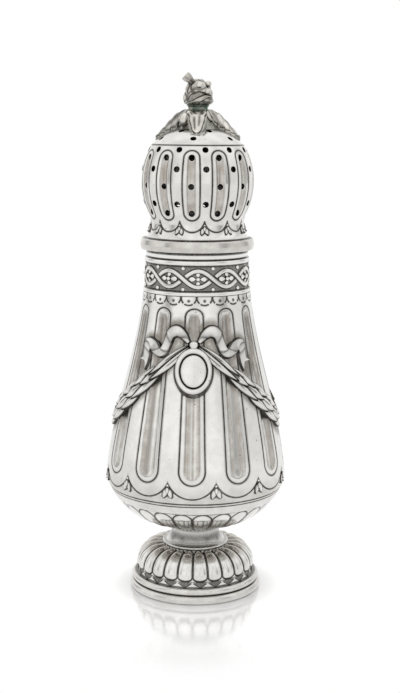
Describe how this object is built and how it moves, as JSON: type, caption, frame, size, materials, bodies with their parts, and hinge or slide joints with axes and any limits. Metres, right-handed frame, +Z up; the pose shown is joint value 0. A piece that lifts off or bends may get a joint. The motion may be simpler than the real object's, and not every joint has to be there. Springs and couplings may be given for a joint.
{
  "type": "sugar caster",
  "caption": "Silver sugar caster: fluted pear-shaped vase with garlands and medallions on a gadrooned foot, closed by a pierced pull-off cap with a flower-bud finial.",
  "frame": {"origin": "centre of the base, on the plane it stands on", "axes": "+Z up the axis of the caster, -Y out of the front medallion, +X to the right of someone who faces the front"},
  "size_m": [0.0698, 0.0698, 0.2],
  "materials": {
    "silver_polished": "polished silver with light wear and a trace of tarnish",
    "silver_chased": "raised and chased silver, dark oxide in its lines and brownish tarnish in its flutes",
    "silver_frieze": "chased frieze on a dark stippled ground",
    "silver_cast": "cast and chased silver ornament, dark in its hollows",
    "silver_finial": "cast silver, dark in its hollows, green deposit round the collar",
    "silver_dull": "unpolished silver on the inside"
  },
  "bodies": {
    "vase": {"foot_rim": "silver_polished", "foot_dome": "silver_chased", "stem_collar": "silver_polished", "lower_bowl": "silver_chased", "body_shell": "silver_chased", "lower_neck_wire": "silver_polished", "neck_frieze": "silver_frieze", "upper_neck_wire": "silver_polished", "mouth_ring": "silver_polished", "front_medallion": "silver_cast", "back_medallion": "silver_cast", "front_knot": "silver_cast", "back_knot": "silver_cast", "front_ribbon_left": "silver_cast", "front_ribbon_right": "silver_cast", "back_ribbon_left": "silver_cast", "back_ribbon_right": "silver_cast", "front_garland_left": "silver_cast", "front_garland_right": "silver_cast", "back_garland_left": "silver_cast", "back_garland_right": "silver_cast"},
    "cap": {"cap_shell": "silver_chased", "cap_rim": "silver_polished", "cap_sleeve": "silver_dull", "finial_mound": "silver_finial", "finial_leaf_left": "silver_finial", "finial_leaf_right": "silver_finial", "finial_leaf_front": "silver_finial", "finial_leaf_back": "silver_finial", "finial_side_bud": "silver_finial", "finial_collar": "silver_finial", "finial_bud": "silver_finial", "finial_stalk": "silver_finial", "finial_berries": "silver_finial", "finial_stud": "silver_dull", "finial_washer": "silver_dull", "finial_nut": "silver_dull"}
  },
  "joints": [
    {"name": "cap_lift", "type": "slide", "parent": "vase", "child": "cap", "axis": [0, 0, 1], "range_m": [0, 0.04]}
  ]
}
